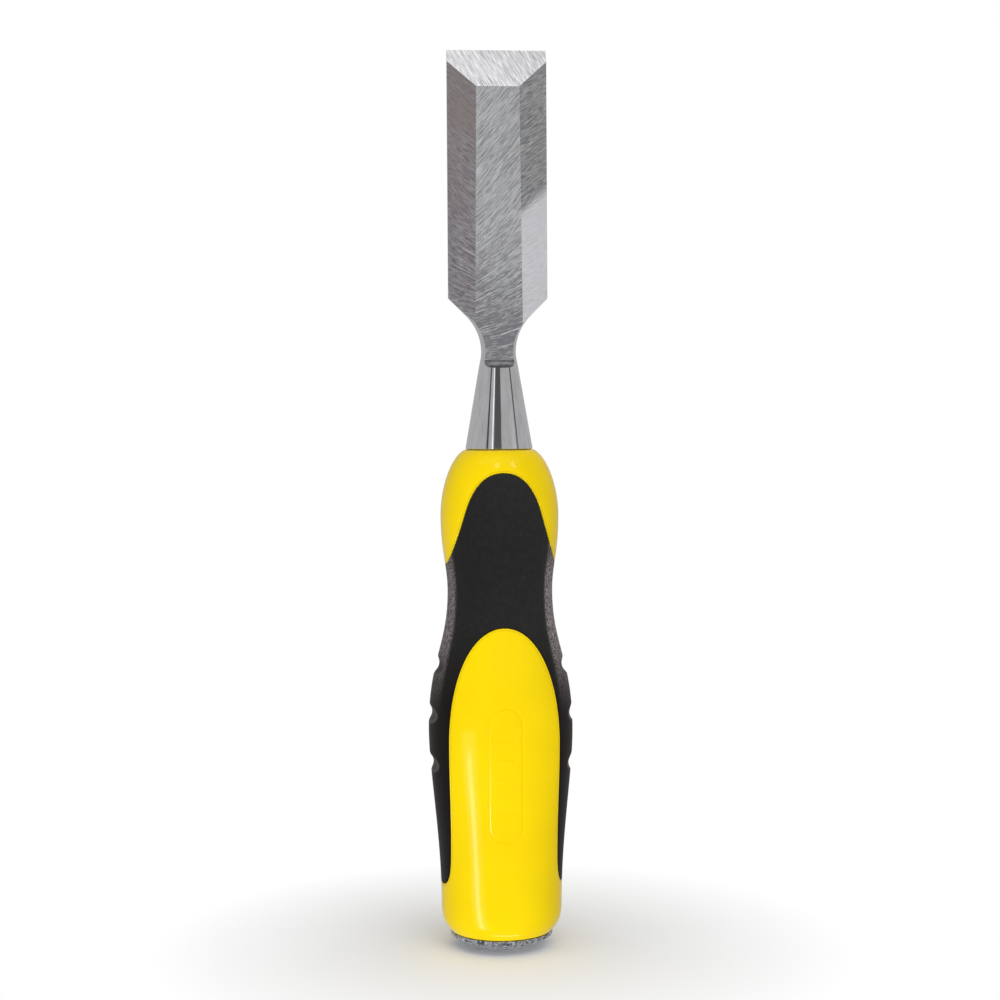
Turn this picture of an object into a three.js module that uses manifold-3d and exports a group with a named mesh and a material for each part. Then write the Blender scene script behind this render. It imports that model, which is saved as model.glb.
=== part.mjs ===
// Bevel-edge bench chisel: forged steel blade, two-material moulded handle, steel strike cap.
// Millimetres, +Z from the strike cap to the cutting edge, +X across the blade. The bevelled front
// faces -Y and the flat back faces +Y. The origin is the centre of the strike face.

import * as THREE from 'three';
import { mergeVertices } from 'three/addons/utils/BufferGeometryUtils.js';
import Module from 'manifold-3d';

const wasm = await Module();
wasm.setup();

// ---- driving dimensions ----

const GAP = 0.3;                 // clearance between pieces that touch
const REACH = 40;                // half-length of a cutter that runs right through the tool

const BLADE_WIDTH = 25.4;
const FRONT_Y = -2.7;            // ground front face
const BACK_Y = 2.0;              // flat back
const EDGE_Z = 229.8;            // cutting edge
const SHOULDER_Z = 166.7;        // lower corners of the full-width blade
const PLATE_SPARE = 4;           // stock above the cutting edge, ground away by the bevel
const NECK = { radius: 4.44, z: 153.1, sweep: 12.9, blendDown: 1.4 };
const CUTTING_BEVEL_LENGTH = 9.8;
const RIDGE = { tip: 5.5, shoulder: 6.0 };    // half-width of the flat between the side bevels
const SIDE_LAND = 1.5;           // thickness left at the blade's sides
const RUN_OUT = { z: 151.3, radius: 2.35 };    // hollow left by the wheel where the front face ends

const CONE = {
  baseRadius: 8.6, topRadius: 5.08, topZ: 148.9, edgeRound: 0.3, blendUp: 1.9, blendIn: 0.36,
};
const TANG = { topWidth: 7.4, tipWidth: 4.2, length: 65 };

const HANDLE_TOP = 128.1;
const HANDLE_BASE = 4.35;
const STATIONS = { shoulder: 111.4, waist: 92, belly: 56.4, foot: 11 };
const HALF_WIDTH = { top: 9.0, shoulder: 15.1, waist: 13.42, belly: 18.52, foot: 15.5, base: 13.1 };
const HALF_DEPTH = { top: 9.0, shoulder: 14.0, waist: 12.5, belly: 15.7, foot: 14.6, base: 13.1 };

// Reach of the bezier handles at the lower and upper end of each swell, as shares of its height.
const PULLS = { footToBelly: [0.4, 0.25], bellyToWaist: [0.5, 0.4], waistToShoulder: [0.35, 0.5] };
// Bezier handles of the crown and of the rounding under the foot, as steps from the ends.
const CROWN = { topOut: 3.5, topDown: 2, shoulderUp: 7 };
const UNDERSIDE = { baseOut: 0.4, baseUp: 1, footDown: 5.2 };

const SQUARENESS = 2.2;          // exponent of the handle's oval section, 2 being an ellipse
const GRIP_WALL = 2.2;

// Right half of each border between black and yellow in front view: bezier knots and handles as
// [x, z], from the centre line to just past the silhouette. Front and back have the same borders.
const PANEL_BORDER = [
  [0, 83.6], [8.3, 83.6], [14.15, 71], [14.15, 54],
  [14.15, 44], [13.65, 38], [13.68, 25.8],
  [13.68, 21.2], [13.9, 16.9], [16.2, 16.9],
];
const TONGUE_BORDER = [
  [0, 122.5], [5.55, 122.5], [8.2, 117.55], [9.75, 112.2],
  [11.05, 107.7], [13.6, 99.5], [15.3, 95.9],
];
const ZONE_EDGE = 22;            // half-width of the colour zones, clear of the handle

const NOTCH_HEIGHTS = [73.6, 60.9, 47.9];
const NOTCH = { depth: 0.8, tubeRadius: 3.6, depthStretch: 1.45 };

const CAP = { radius: 13.1, top: 4.05, faceRadius: 5, domeRadius: 25 };
const STEM = { radius: 4, top: 20, collarRadius: 5.2, collarBottom: 13, collarTop: 17 };

const ROUND_SEGMENTS = 40;
const DOME_STEPS = 5;

const STEEL = { color: 0x9fa3a8, roughness: 0.3, metalness: 1 };
const YELLOW = { color: 0xfada0a, roughness: 0.32, metalness: 0 };
const BLACK = { color: 0x262626, roughness: 0.65, metalness: 0 };
const CAP_STEEL = { color: 0x8d9296, roughness: 0.4, metalness: 1 };

// ---- solids ----

// The triangles of a closed geometry as a solid, with shared corners merged and no flat triangles.
function solid(geometry) {
  geometry.deleteAttribute('normal');
  geometry.deleteAttribute('uv');
  const merged = mergeVertices(geometry);
  const corners = merged.index.array;
  const triangles = [];
  for (let i = 0; i < corners.length; i += 3) {
    const [a, b, c] = [corners[i], corners[i + 1], corners[i + 2]];
    if (a !== b && b !== c && c !== a) triangles.push(a, b, c);
  }
  return new wasm.Manifold(new wasm.Mesh({
    numProp: 3,
    vertProperties: new Float32Array(merged.attributes.position.array),
    triVerts: new Uint32Array(triangles),
  }));
}

function piece(name, body, look) {
  const mesh = body.getMesh();
  const geometry = new THREE.BufferGeometry();
  geometry.setAttribute('position', new THREE.BufferAttribute(mesh.vertProperties, 3));
  geometry.setIndex(new THREE.BufferAttribute(mesh.triVerts, 1));
  geometry.computeVertexNormals();
  const result = new THREE.Mesh(geometry, new THREE.MeshStandardMaterial(look));
  result.name = name;
  return result;
}

// A solid of revolution about Z from [radius, height] points that start and end on the axis.
function turned(points) {
  const geometry = new THREE.LatheGeometry(points, ROUND_SEGMENTS);
  return solid(geometry.rotateX(Math.PI / 2));
}

const runThrough = (outline, curveSegments) => new THREE.ExtrudeGeometry(
  outline, { depth: 2 * REACH, bevelEnabled: false, curveSegments },
);

// A front-view outline (x, z) run through the tool along Y.
function cutThroughDepth(outline) {
  const geometry = runThrough(outline, 10);
  geometry.rotateX(Math.PI / 2);
  return solid(geometry.translate(0, REACH, 0));
}

// A side-view outline (y, z) run through the tool along X.
function cutThroughWidth(outline) {
  const geometry = runThrough(outline, 4);
  const [x, y, z] = [new THREE.Vector3(1, 0, 0), new THREE.Vector3(0, 1, 0), new THREE.Vector3(0, 0, 1)];
  geometry.applyMatrix4(new THREE.Matrix4().makeBasis(y, z, x));
  return solid(geometry.translate(-REACH, 0, 0));
}

// ---- handle form ----

const at = (x, y) => new THREE.Vector2(x, y);

// A bezier from one turning point of the profile up to the next, upright at both ends.
function swell(size, from, to, [startPull, endPull]) {
  const [fromZ, toZ] = [STATIONS[from], STATIONS[to]];
  const rise = toZ - fromZ;
  return new THREE.CubicBezierCurve(
    at(size[from], fromZ),
    at(size[from], fromZ + startPull * rise),
    at(size[to], toZ - endPull * rise),
    at(size[to], toZ),
  );
}

// Half-size against height, from base to top. Two profiles with different sizes share their heights.
function profile(size, inset = 0) {
  const { shoulder, foot } = STATIONS;
  const underside = new THREE.CubicBezierCurve(
    at(size.base, HANDLE_BASE),
    at(size.base + UNDERSIDE.baseOut, HANDLE_BASE + UNDERSIDE.baseUp),
    at(size.foot, foot - UNDERSIDE.footDown),
    at(size.foot, foot),
  );
  const crown = new THREE.CubicBezierCurve(
    at(size.shoulder, shoulder),
    at(size.shoulder, shoulder + CROWN.shoulderUp),
    at(size.top + CROWN.topOut, HANDLE_TOP - CROWN.topDown),
    at(size.top, HANDLE_TOP),
  );
  const stretches = [
    [underside, 5],
    [swell(size, 'foot', 'belly', PULLS.footToBelly), 7],
    [swell(size, 'belly', 'waist', PULLS.bellyToWaist), 9],
    [swell(size, 'waist', 'shoulder', PULLS.waistToShoulder), 6],
    [crown, 7],
  ];
  const points = [at(size.base, HANDLE_BASE)];
  for (const [curve, steps] of stretches) points.push(...curve.getPoints(steps).slice(1));
  return points.map((point) => at(point.x - inset, point.y));
}

const squared = (value) => Math.sign(value) * Math.abs(value) ** (2 / SQUARENESS);

// The handle's outer form, or the form that lies a given depth below it.
function handleForm(inset = 0) {
  const wide = profile(HALF_WIDTH, inset);
  const deep = profile(HALF_DEPTH, inset);
  const closed = (points) => [at(0, HANDLE_BASE), ...points, at(0, HANDLE_TOP)];
  const [wideClosed, deepClosed] = [closed(wide), closed(deep)];
  const geometry = new THREE.LatheGeometry(wideClosed, ROUND_SEGMENTS);
  const position = geometry.attributes.position;
  for (let i = 0; i < position.count; i++) {
    const station = i % wideClosed.length;
    const turn = (2 * Math.PI * Math.floor(i / wideClosed.length)) / ROUND_SEGMENTS;
    const x = wideClosed[station].x * squared(Math.sin(turn));
    const y = -deepClosed[station].x * squared(Math.cos(turn));
    position.setXYZ(i, x, y, wideClosed[station].y);
  }
  return solid(geometry);
}

// The yellow zone between a border and farZ, its border moved out and up by grow.
function colourZone(border, farZ, grow) {
  const right = border.map(([x, z]) => at(x === 0 ? 0 : x + grow, z + grow));
  const left = right.map((point) => at(-point.x, point.y)).reverse();
  const endZ = left[0].y;
  const outline = new THREE.Shape();
  outline.moveTo(left[0].x, endZ);
  for (const knots of [left, right]) {
    for (let i = 1; i < knots.length; i += 3) {
      const [handleA, handleB, knot] = knots.slice(i, i + 3);
      outline.bezierCurveTo(handleA.x, handleA.y, handleB.x, handleB.y, knot.x, knot.y);
    }
  }
  outline.lineTo(ZONE_EDGE, endZ);
  outline.lineTo(ZONE_EDGE, farZ);
  outline.lineTo(-ZONE_EDGE, farZ);
  outline.lineTo(-ZONE_EDGE, endZ);
  return cutThroughDepth(outline);
}

// Panels and the band round the foot, shrunk by inset.
const panelZone = (inset) => colourZone(PANEL_BORDER, 0, -inset);

// Crown of the handle, down to a point at each side, shrunk by inset.
const crownZone = (inset) => colourZone(TONGUE_BORDER, HANDLE_TOP + REACH, inset);

// A ring round the handle that scoops one finger notch out of each side.
function notchRing(height) {
  const sides = profile(HALF_WIDTH);
  const above = sides.findIndex((point) => point.y >= height);
  const [low, high] = [sides[above - 1], sides[above]];
  const share = (height - low.y) / (high.y - low.y);
  const ringRadius = THREE.MathUtils.lerp(low.x, high.x, share) - NOTCH.depth + NOTCH.tubeRadius;
  const geometry = new THREE.TorusGeometry(ringRadius, NOTCH.tubeRadius, 14, 64);
  geometry.scale(1, NOTCH.depthStretch, 1);
  return solid(geometry.translate(0, 0, height));
}

// ---- blade ----

// Outline of the forging before grinding: cone, neck, and shoulders flaring to the blade's width.
function forgingOutline(baseZ) {
  const half = BLADE_WIDTH / 2;
  const eighth = NECK.sweep * Math.SQRT1_2;
  const flare = new THREE.EllipseCurve(
    NECK.radius + NECK.sweep, NECK.z, NECK.sweep, NECK.sweep, Math.PI, 0.75 * Math.PI, true,
  );
  const waist = new THREE.CubicBezierCurve(
    at(CONE.topRadius, CONE.topZ),
    at(CONE.topRadius - CONE.blendIn, CONE.topZ + CONE.blendUp),
    at(NECK.radius, NECK.z - NECK.blendDown),
    at(NECK.radius, NECK.z),
  );
  const shoulderStart = NECK.radius + NECK.sweep - eighth;
  return [
    at(0, baseZ),
    at(CONE.baseRadius - CONE.edgeRound, baseZ),
    at(CONE.baseRadius, baseZ + CONE.edgeRound),
    ...waist.getPoints(4),
    ...flare.getPoints(8).slice(1),
    at(half, NECK.z + eighth + half - shoulderStart),
    at(half, SHOULDER_Z + 1),
    at(0, SHOULDER_Z + 1),
  ];
}

// Everything in front of the ground front face, or behind the back, with the wheel's hollow run-out.
function faceGrinding(faceY, runOutRadius) {
  const side = Math.sign(faceY);
  const far = side * REACH;
  const outline = new THREE.Shape();
  outline.moveTo(faceY, EDGE_Z + REACH);
  outline.lineTo(faceY, RUN_OUT.z);
  const centreY = faceY + side * runOutRadius;
  outline.absarc(centreY, RUN_OUT.z, runOutRadius, side > 0 ? Math.PI : 0, -Math.PI / 2, side < 0);
  outline.lineTo(far, RUN_OUT.z - runOutRadius);
  outline.lineTo(far, EDGE_Z + REACH);
  return cutThroughWidth(outline);
}

// Everything above the cutting bevel, which meets the flat back at the cutting edge.
function cuttingBevel() {
  const thickness = BACK_Y - FRONT_Y;
  const outline = new THREE.Shape();
  outline.moveTo(BACK_Y + thickness, EDGE_Z + CUTTING_BEVEL_LENGTH);
  outline.lineTo(FRONT_Y - thickness, EDGE_Z - 2 * CUTTING_BEVEL_LENGTH);
  outline.lineTo(-REACH, EDGE_Z - 2 * CUTTING_BEVEL_LENGTH);
  outline.lineTo(-REACH, EDGE_Z + CUTTING_BEVEL_LENGTH);
  return cutThroughWidth(outline);
}

// A block with one face on a side bevel's plane, to grind the bevel on the +X (1) or -X (-1) side.
// It stops at the neck, which is too narrow to reach it.
function sideBevel(side) {
  const bevelZ = EDGE_Z - CUTTING_BEVEL_LENGTH;
  const tip = new THREE.Vector3(side * RIDGE.tip, FRONT_Y, bevelZ);
  const shoulder = new THREE.Vector3(side * RIDGE.shoulder, FRONT_Y, SHOULDER_Z);
  const land = new THREE.Vector3(side * BLADE_WIDTH / 2, BACK_Y - SIDE_LAND, bevelZ);
  const along = tip.clone().sub(shoulder).normalize();
  const out = land.clone().sub(tip).cross(along).multiplyScalar(side).normalize();
  const size = 2 * REACH;
  const geometry = new THREE.BoxGeometry(size, size, 2 * (bevelZ - NECK.z));
  geometry.translate(0, size / 2, 0);
  geometry.applyMatrix4(new THREE.Matrix4().makeBasis(out.clone().cross(along), out, along));
  return solid(geometry.translate(tip.x, tip.y, tip.z));
}

function tang(topZ, grow) {
  const length = TANG.length + grow;
  const toCorner = Math.SQRT1_2;
  const geometry = new THREE.CylinderGeometry(
    TANG.topWidth * toCorner + grow, TANG.tipWidth * toCorner + grow, length, 4,
  );
  geometry.rotateX(Math.PI / 2);
  geometry.rotateZ(Math.PI / 4);
  return solid(geometry.translate(0, 0, topZ - length / 2));
}

function blade() {
  const coneBase = HANDLE_TOP + GAP;
  const plateHeight = EDGE_Z - SHOULDER_Z + PLATE_SPARE;
  const plate = new THREE.BoxGeometry(BLADE_WIDTH, 3 * (BACK_Y - FRONT_Y), plateHeight);
  return turned(forgingOutline(coneBase))
    .add(solid(plate.translate(0, 0, SHOULDER_Z + plateHeight / 2)))
    .subtract(faceGrinding(FRONT_Y, RUN_OUT.radius))
    .subtract(faceGrinding(BACK_Y, CONE.topRadius - BACK_Y))
    .subtract(sideBevel(1))
    .subtract(sideBevel(-1))
    .subtract(cuttingBevel())
    .add(tang(coneBase + 1, 0));
}

// ---- handle pieces and cap ----

// Domed disc with an anchoring stem. Grown by the clearance, it cuts its own socket.
function strikeCap(grow) {
  const c = CAP;
  const s = STEM;
  const domeCentre = Math.sqrt(c.domeRadius ** 2 - c.faceRadius ** 2);
  const dome = Array.from({ length: DOME_STEPS + 1 }, (_, step) => {
    const radius = THREE.MathUtils.lerp(c.faceRadius, c.radius, step / DOME_STEPS);
    return at(radius, domeCentre - Math.sqrt(c.domeRadius ** 2 - radius ** 2));
  });
  return turned([
    at(0, 0),
    ...dome,
    at(c.radius, c.top),
    at(s.radius + grow, c.top),
    at(s.radius + grow, s.collarBottom - grow),
    at(s.collarRadius + grow, s.collarBottom - grow),
    at(s.collarRadius + grow, s.collarTop + grow),
    at(s.radius + grow, s.collarTop + grow),
    at(s.radius + grow, s.top + grow),
    at(0, s.top + grow),
  ]);
}

function softGrip() {
  return NOTCH_HEIGHTS.reduce(
    (body, height) => body.subtract(notchRing(height)),
    handleForm().subtract(handleForm(GRIP_WALL)).subtract(panelZone(0)).subtract(crownZone(0)),
  );
}

function handleCore() {
  const panelsAndCrown = panelZone(GAP).add(crownZone(GAP));
  return handleForm(GRIP_WALL + GAP)
    .add(handleForm().intersect(panelsAndCrown))
    .subtract(tang(HANDLE_TOP + GAP + 1, GAP))
    .subtract(strikeCap(GAP));
}

const chisel = new THREE.Group();
chisel.add(piece('blade', blade(), STEEL));
chisel.add(piece('handle_core', handleCore(), YELLOW));
chisel.add(piece('soft_grip', softGrip(), BLACK));
chisel.add(piece('strike_cap', strikeCap(0), CAP_STEEL));

export default chisel;
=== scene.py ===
"""Bench chisel: the finished look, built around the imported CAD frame.

Lengths are in millimetres until a mesh is made, which is then in metres, in the frame of the CAD.
"""

import math

import bmesh
import bpy
import numpy as np
from mathutils import Matrix, Vector
from mathutils.geometry import delaunay_2d_cdt


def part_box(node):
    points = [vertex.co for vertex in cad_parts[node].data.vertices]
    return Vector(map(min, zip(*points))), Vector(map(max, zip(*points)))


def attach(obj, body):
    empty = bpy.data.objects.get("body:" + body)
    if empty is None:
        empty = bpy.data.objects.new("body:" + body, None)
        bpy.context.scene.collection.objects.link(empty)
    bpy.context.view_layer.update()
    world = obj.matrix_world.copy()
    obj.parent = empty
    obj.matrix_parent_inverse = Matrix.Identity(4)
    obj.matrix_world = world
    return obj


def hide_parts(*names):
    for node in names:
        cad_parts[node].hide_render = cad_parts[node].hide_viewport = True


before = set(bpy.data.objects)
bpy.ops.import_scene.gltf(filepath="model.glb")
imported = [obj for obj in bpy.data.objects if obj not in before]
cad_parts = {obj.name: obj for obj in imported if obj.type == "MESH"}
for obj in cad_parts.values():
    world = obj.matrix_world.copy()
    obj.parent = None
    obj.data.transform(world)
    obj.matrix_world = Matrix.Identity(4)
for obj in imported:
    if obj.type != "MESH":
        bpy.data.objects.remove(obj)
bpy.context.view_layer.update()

MM = 0.001


def cad_box_mm(node):
    """Lowest and highest corner of a CAD node, in millimetres."""
    low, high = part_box(node)
    return np.array(low) / MM, np.array(high) / MM


CORE_LOW, CORE_HIGH = cad_box_mm("handle_core")
GRIP_HIGH, BLADE_HIGH, CAP_HIGH = (cad_box_mm(node)[1] for node in ("soft_grip", "blade", "strike_cap"))

# ---- driving dimensions, as in the CAD ----

HANDLE_BASE, HANDLE_TOP = CORE_LOW[2], CORE_HIGH[2]
STATIONS = {"shoulder": 111.4, "waist": 92, "belly": 56.4, "foot": 11}
CAP_RADIUS = CAP_HIGH[0]
HALF_WIDTH = {"top": 9.0, "shoulder": 15.1, "waist": 13.42, "belly": GRIP_HIGH[0], "foot": 15.5,
              "base": CAP_RADIUS}
HALF_DEPTH = {"top": 9.0, "shoulder": 14.0, "waist": 12.5, "belly": CORE_HIGH[1], "foot": 14.6,
              "base": CAP_RADIUS}
PULLS = {("foot", "belly"): (0.4, 0.25), ("belly", "waist"): (0.5, 0.4), ("waist", "shoulder"): (0.35, 0.5)}
CROWN = {"top_out": 3.5, "top_down": 2, "shoulder_up": 7}
UNDERSIDE = {"base_out": 0.4, "base_up": 1, "foot_down": 5.2}
SQUARENESS, SQUARE_FROM_Z = 2.2, STATIONS["foot"] + 6
GRIP_WALL = 2.15
CORE_UNDER_GRIP = 2.3
SOCKET_RADIUS = 5.7

# Borders between black and yellow in front view: bezier knots and handles (x, z) from the centre out.
PANEL_BORDER = [(0, 83.6), (8.3, 83.6), (14.15, 71), (14.15, 54), (14.15, 44), (13.65, 38), (13.68, 25.8),
                (13.68, 21.2), (13.9, 16.9), (16.2, 16.9)]
TONGUE_BORDER = [(0, 122.5), (5.55, 122.5), (8.2, 117.55), (9.75, 112.2), (11.05, 107.7), (13.6, 99.5),
                 (15.3, 95.9)]

# Distance from the border against how far the surface is sunk there: a rounded edge and, on the
# yellow, a fine bead with a hollow beside it.
YELLOW_EDGE = [(0.04, 0.30), (0.08, 0.13), (0.16, 0.03), (0.27, -0.03), (0.4, 0.04), (0.52, 0.09),
               (0.68, 0.03), (0.9, 0)]
BLACK_EDGE = [(0.04, 0.30), (0.10, 0.12), (0.2, 0.03), (0.35, 0)]
GROOVE_SINK = 0.09

# The finger notches are the mark of rings of round section round the tool, stretched front to back.
NOTCH_HEIGHTS = (73.6, 60.9, 47.9)
NOTCH_DEPTH, NOTCH_TUBE, NOTCH_STRETCH = 0.8, 3.6, 1.45
NOTCH_BLEND = 0.12

# The grip's grained band, made paler as painted sheen, starts at this share of the half width, on the left
# and on the right.
BAND_STARTS, BAND_BLEND = (0.85, 0.765), 0.06
# Heights between which the grain and its painted sheen come in, and between which they get fainter.
GRAIN_STARTS, GRAIN_FAINTER = (60, 84), (97, 103)

BADGE = {"z": 46.6, "half_length": 17.0, "half_width": 4.25, "line": 0.34, "depth": 0.13, "clear_x": 5.2,
         "bars_each_way": 2, "bar_pitch": 4.6, "bar_half_height": 0.55, "bar_half_width": 2.1}

BLADE_WIDTH = 2 * BLADE_HIGH[0]
FRONT_Y, BACK_Y = -2.7, 2.0
EDGE_Z = BLADE_HIGH[2]
SHOULDER_Z = 166.7
NECK_RADIUS, NECK_Z, NECK_SWEEP = 4.44, 153.1, 12.9
BEVEL_LENGTH = 9.8
RIDGE_TIP, RIDGE_SHOULDER = 5.5, 6.0
SIDE_LAND = 1.5
RUN_OUT_Z, RUN_OUT_RADIUS = 151.3, 2.35
CONE_BASE, CONE_TOP, CONE_TOP_Z = 8.6, 5.08, 148.9
TANG_TOP, TANG_TIP, TANG_LENGTH = 7.4, 4.2, 65.0
GROUND_FROM_Z = SHOULDER_Z - 9   # the side bevels and the ridges are above this
HAIRLINE = 0.11                  # width of the bevel along the ridges

CAP_FACE, DOME_RADIUS = 5.0, 25.0
STEM_RADIUS, COLLAR_RADIUS, COLLAR_LOW, COLLAR_HIGH = 4.0, 5.2, 13, 17

# ---- how finely the shapes are made ----

REACH = 40.0                     # further to the side than anything on the tool
WELD, SLIVER = 2e-3, 1e-4        # closer points are joined, and shorter edges are removed
SAME_PLACE = 1e-4
CURVE_STEPS, PROFILE_ROWS, BORDER_STEPS = 400, 2400, 4000
BLADE_SEGMENTS, CAP_SEGMENTS = 192, 160
HANDLE_CREASE, BLADE_CREASE, CAP_CREASE = 50, 18, 40    # degrees, from which an edge is shaded sharp


# ---- small helpers ----

def bezier(knots, steps):
    """Points on a cubic bezier, both ends included."""
    t = np.linspace(0, 1, steps + 1)[:, None]
    a, b, c, d = (np.array(knot, float) for knot in knots)
    return (1 - t) ** 3 * a + 3 * t * (1 - t) ** 2 * b + 3 * t * t * (1 - t) * c + t ** 3 * d


def smoothstep(low, high, value):
    """0 below low, 1 above high, and a smooth rise between them."""
    t = np.clip((np.asarray(value, float) - low) / (high - low), 0, 1)
    return t * t * (3 - 2 * t)


def unit(vectors):
    """The same directions, each with a length of 1."""
    return vectors / np.linalg.norm(vectors, axis=-1, keepdims=True)


def make_object(name, points, faces, scale=MM, values=None):
    """A mesh object from points in millimetres, with doubled points merged and faces turned outward."""
    mesh = bpy.data.meshes.new(name)
    mesh.from_pydata([tuple(p) for p in np.asarray(points) * scale], [], [tuple(f) for f in faces])
    for key, numbers in (values or {}).items():
        set_values(mesh, key, numbers)
    shape = bmesh.new()
    shape.from_mesh(mesh)
    bmesh.ops.remove_doubles(shape, verts=shape.verts, dist=WELD * scale)
    bmesh.ops.dissolve_degenerate(shape, edges=shape.edges, dist=SLIVER * scale)
    bmesh.ops.recalc_face_normals(shape, faces=shape.faces)
    shape.to_mesh(mesh)
    shape.free()
    made = bpy.data.objects.new(name, mesh)
    bpy.context.scene.collection.objects.link(made)
    return made


def set_values(mesh, key, numbers):
    """Stores one number per point, for a material to read."""
    mesh.attributes.new(key, "FLOAT", "POINT").data.foreach_set("value", np.asarray(numbers, np.float32))


def smooth_except(piece, degrees):
    """Smooth shading, with edges sharper than this angle kept crisp."""
    piece.data.shade_smooth()
    piece.data.set_sharp_from_angle(angle=math.radians(degrees))


# ---- handle form ----

def swell(size, low, high):
    """Bezier knots between two turning points of the profile, upright at both ends."""
    rise = STATIONS[high] - STATIONS[low]
    start_pull, end_pull = PULLS[low, high]
    return [(size[low], STATIONS[low]), (size[low], STATIONS[low] + start_pull * rise),
            (size[high], STATIONS[high] - end_pull * rise), (size[high], STATIONS[high])]


def profile(size):
    """Half-size of the handle against height, from base to top."""
    foot, shoulder = STATIONS["foot"], STATIONS["shoulder"]
    underside = [(size["base"], HANDLE_BASE),
                 (size["base"] + UNDERSIDE["base_out"], HANDLE_BASE + UNDERSIDE["base_up"]),
                 (size["foot"], foot - UNDERSIDE["foot_down"]), (size["foot"], foot)]
    crown = [(size["shoulder"], shoulder), (size["shoulder"], shoulder + CROWN["shoulder_up"]),
             (size["top"] + CROWN["top_out"], HANDLE_TOP - CROWN["top_down"]), (size["top"], HANDLE_TOP)]
    stretches = [underside, *(swell(size, *ends) for ends in PULLS), crown]
    curves = [bezier(knots, CURVE_STEPS)[:-1] for knots in stretches]
    points = np.concatenate(curves + [[stretches[-1][-1]]])
    heights = np.linspace(HANDLE_BASE, HANDLE_TOP, PROFILE_ROWS)
    return heights, np.interp(heights, points[:, 1], points[:, 0])


HEIGHTS, WIDE = profile(HALF_WIDTH)
DEEP = profile(HALF_DEPTH)[1]
WIDE_SLOPE, DEEP_SLOPE = np.gradient(WIDE, HEIGHTS), np.gradient(DEEP, HEIGHTS)


def squareness(z):
    """Exponent of the section: round at both ends, a slightly square oval between."""
    body = smoothstep(HANDLE_BASE, SQUARE_FROM_Z, z)
    return 2 + (SQUARENESS - 2) * body * (1 - smoothstep(STATIONS["shoulder"], HANDLE_TOP, z))


def surface(turn, z):
    """Points and outward normals of the front right quarter, turn being 0 in front, pi/2 at the side."""
    wide, deep = np.interp(z, HEIGHTS, WIDE), np.interp(z, HEIGHTS, DEEP)
    power = squareness(z)
    across, forward = np.sin(turn) ** (2 / power), np.abs(np.cos(turn)) ** (2 / power)
    at_side = turn > math.pi / 2 - 1e-9
    forward = np.where(at_side, 0, forward)
    points = np.stack([wide * across, -deep * forward, z], -1)
    slope = (across ** power * np.interp(z, HEIGHTS, WIDE_SLOPE) / wide
             + forward ** power * np.interp(z, HEIGHTS, DEEP_SLOPE) / deep)
    normals = np.stack([across ** (power - 1) / wide, -forward ** (power - 1) / deep, -slope], -1)
    return points, unit(normals)


# ---- the handle's skin: one triangulated quarter, shared by the core and the grip ----

ARC = 16.0                       # millimetres of the flat map for one radian of turn
SIDE = ARC * math.pi / 2         # width of the flat map of a quarter
LINE_SPACING, COARSE_SPACING = 0.38, 0.6
CLEAR_OF_LINES = max(YELLOW_EDGE[-1][0], BLACK_EDGE[-1][0]) + 0.15

# Where the triangles are smaller, at the mark and at the notches: lowest and highest corner, and spacing.
FINE_ZONES = [
    ((0.0, BADGE["z"] - 18.2), (5.4, BADGE["z"] + 18.2), 0.2),
    ((SIDE - 9.5, NOTCH_HEIGHTS[-1] - 4), (SIDE, NOTCH_HEIGHTS[0] + 4), 0.32),
]

# The side of its border that the yellow lies on: below the panel's border, above the tongue's.
YELLOW_SIDES = (-1, 1)


def border_line(knots, spacing):
    """A border on the flat map (arc, z), from the centre line to the side, evenly spaced."""
    curve = np.concatenate([bezier(knots[i:i + 4], BORDER_STEPS) for i in range(0, len(knots) - 1, 3)])
    share = curve[:, 0] / np.interp(curve[:, 1], HEIGHTS, WIDE)
    at_side = np.argmax(share >= 1)
    curve, share = curve[:at_side], share[:at_side]
    turn = np.arcsin(share ** (squareness(curve[:, 1]) / 2))
    line = np.stack([turn * ARC, curve[:, 1]], -1)
    line = np.concatenate([line, [[SIDE, line[-1, 1]]]])
    length = np.concatenate([[0], np.cumsum(np.linalg.norm(np.diff(line, axis=0), axis=1))])
    even = np.linspace(0, length[-1], int(length[-1] / spacing) + 1)
    return np.stack([np.interp(even, length, line[:, k]) for k in (0, 1)], -1)


def offset_line(line, distance, toward_z):
    """The border moved sideways over the surface, to the side that toward_z is on at its start."""
    turn, z = line[:, 0] / ARC, line[:, 1]
    points, normals = surface(turn, z)
    along = unit(np.gradient(points, axis=0))
    sideways = unit(np.cross(normals, along))
    sideways *= np.sign(sideways[0, 2]) * toward_z
    step = 1e-3
    inner = np.clip(turn, step, math.pi / 2 - step)
    per_turn = (surface(inner + step, z)[0] - surface(inner - step, z)[0]) / (2 * step)
    shift = distance * (sideways * per_turn).sum(-1) / (per_turn ** 2).sum(-1)
    moved = np.stack([line[:, 0] + shift * ARC, z + distance * sideways[:, 2]], -1)
    moved[0, 0], moved[-1, 0] = 0, SIDE
    return moved


def lattice(low, high, spacing):
    """Evenly spaced points that reach the edges of a rectangle."""
    columns, rows = (int(math.ceil((end - start) / spacing)) + 1 for start, end in zip(low, high))
    arc, z = np.meshgrid(np.linspace(low[0], high[0], columns), np.linspace(low[1], high[1], rows))
    return np.stack([arc.ravel(), z.ravel()], -1)


def far_from(points, lines, distance):
    """The points that are further than this from every line."""
    every = np.concatenate(lines)
    keep = [np.min(np.hypot(*(every - p).T)) > distance for p in points]
    return points[np.array(keep)]


def inside(points, low, high, margin):
    """Which points lie in a rectangle that is made a margin wider on every side."""
    return np.all((points > np.array(low) - margin) & (points < np.array(high) + margin), axis=1)


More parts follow.
